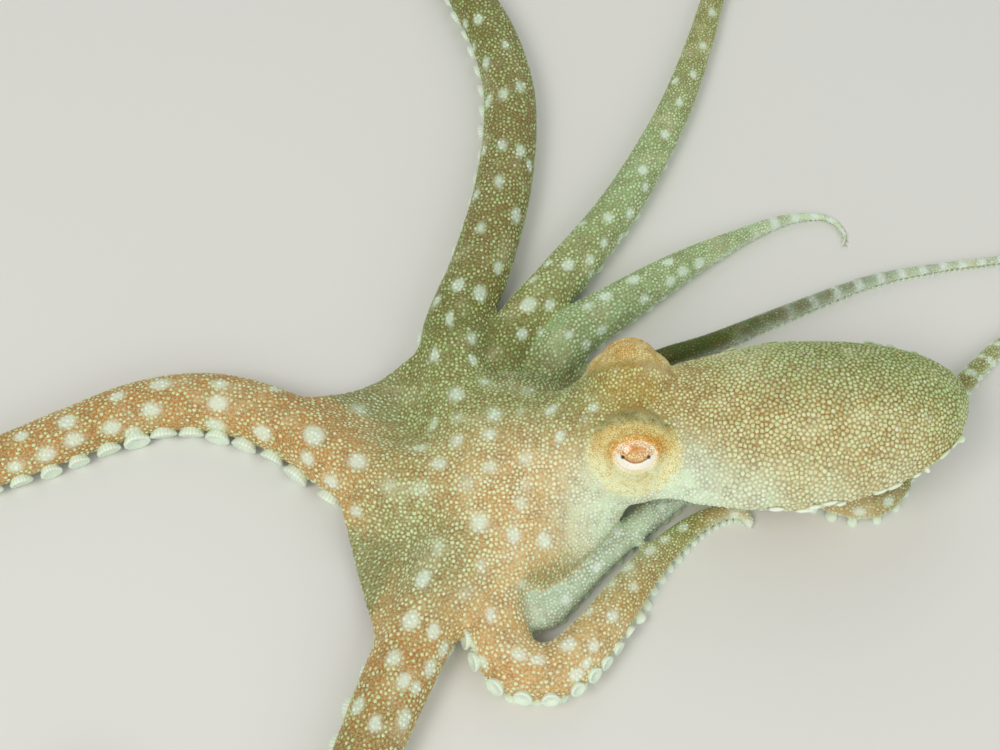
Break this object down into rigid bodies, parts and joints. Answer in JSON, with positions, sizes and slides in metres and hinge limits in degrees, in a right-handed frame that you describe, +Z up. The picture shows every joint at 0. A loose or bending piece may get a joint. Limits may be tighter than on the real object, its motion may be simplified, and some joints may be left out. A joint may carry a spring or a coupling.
{
  "type": "octopus",
  "caption": "Life-size still octopus crawling on flat ground, arms spread and curled at their tips, mantle trailing, with raised eyes and webbed arm bases.",
  "frame": {"origin": "on the ground under the mouth, at the middle of the flat underside of the arm crown", "axes": "+Z up, +X from the mouth towards the mantle's tip end, +Y towards the animal's right side"},
  "size_m": [0.3871, 0.3415, 0.0389],
  "materials": {
    "skin": "soft wet skin, satin",
    "web": "thin wet skin, satin",
    "siphon": "soft wet skin, satin",
    "eye": "wet, glossy",
    "sucker": "smooth wet skin, satin",
    "granule": "small pale skin granules, satin"
  },
  "bodies": {
    "root": {"head": "skin", "eye_left": "eye", "eye_right": "eye", "mantle": "skin", "crown": "skin", "siphon": "siphon", "arm_left_1_base": "skin", "arm_left_1_middle": "skin", "arm_left_1_tip": "skin", "arm_left_2_base": "skin", "arm_left_2_middle": "skin", "arm_left_2_tip": "skin", "arm_left_3_base": "skin", "arm_left_3_middle": "skin", "arm_left_3_tip": "skin", "arm_left_4_base": "skin", "arm_left_4_middle": "skin", "arm_left_4_tip": "skin", "arm_right_1_base": "skin", "arm_right_1_middle": "skin", "arm_right_1_tip": "skin", "arm_right_2_base": "skin", "arm_right_2_middle": "skin", "arm_right_2_tip": "skin", "arm_right_3_base": "skin", "arm_right_3_middle": "skin", "arm_right_3_tip": "skin", "arm_right_4_base": "skin", "arm_right_4_middle": "skin", "arm_right_4_tip": "skin", "web_left_3_left_2": "web", "web_left_2_left_1": "web", "web_left_1_right_1": "web", "web_right_3_right_4": "web"}
  },
  "joints": []
}
